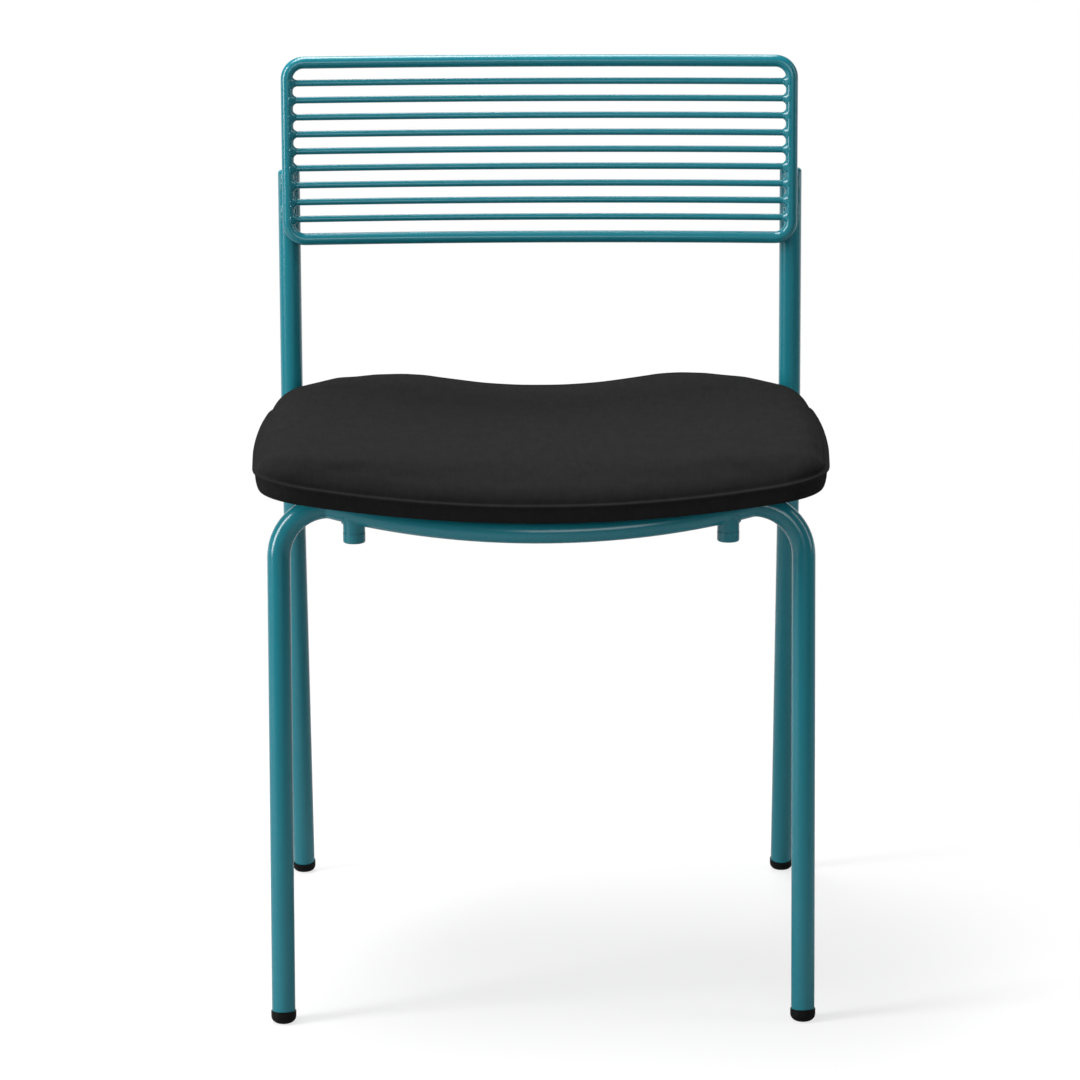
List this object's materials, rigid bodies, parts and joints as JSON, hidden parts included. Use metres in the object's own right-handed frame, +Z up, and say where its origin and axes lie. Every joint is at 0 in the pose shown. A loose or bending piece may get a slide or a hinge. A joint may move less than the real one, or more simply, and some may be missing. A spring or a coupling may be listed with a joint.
{
  "type": "dining chair",
  "caption": "Stacking dining chair of painted steel tube with a bowed wire-rung back, a dished wire seat and a loose padded seat cushion that lifts off.",
  "frame": {"origin": "on the floor, under the middle of the chair's plan", "axes": "+Z up, -Y is the front of the chair, +X is the sitter's left when seated facing the front"},
  "size_m": [0.4974, 0.4779, 0.7883],
  "materials": {
    "painted_steel": "satin",
    "foot_plastic": "matte",
    "pad_fabric": "matte",
    "pad_base_fabric": "matte",
    "foam": "matte"
  },
  "bodies": {
    "frame": {"backrest_frame": "painted_steel", "backrest_rung_1": "painted_steel", "backrest_rung_2": "painted_steel", "backrest_rung_3": "painted_steel", "backrest_rung_4": "painted_steel", "backrest_rung_5": "painted_steel", "backrest_rung_6": "painted_steel", "backrest_rung_7": "painted_steel", "backrest_rung_8": "painted_steel", "backrest_rung_9": "painted_steel", "foot_cap_front_left": "foot_plastic", "foot_cap_front_right": "foot_plastic", "foot_cap_rear_left": "foot_plastic", "foot_cap_rear_right": "foot_plastic", "front_leg_left": "painted_steel", "front_leg_right": "painted_steel", "front_rail": "painted_steel", "rear_leg_left": "painted_steel", "rear_leg_right": "painted_steel", "rear_rail": "painted_steel", "seat_rung_1": "painted_steel", "seat_rung_2": "painted_steel", "seat_rung_3": "painted_steel", "seat_rung_4": "painted_steel", "seat_rung_5": "painted_steel", "seat_rung_6": "painted_steel", "seat_rung_7": "painted_steel", "seat_rung_8": "painted_steel", "side_rail_left": "painted_steel", "side_rail_right": "painted_steel", "stacking_cap_left": "painted_steel", "stacking_cap_right": "painted_steel", "stacking_stub_left": "painted_steel", "stacking_stub_right": "painted_steel"},
    "pad": {"pad_base": "pad_base_fabric", "pad_foam": "foam", "pad_side_band": "pad_fabric", "pad_top_cover": "pad_fabric"}
  },
  "joints": [
    {"name": "pad_lift", "type": "slide", "parent": "frame", "child": "pad", "axis": [0, -0.866, 0.5], "range_m": [0, 0.5]}
  ]
}
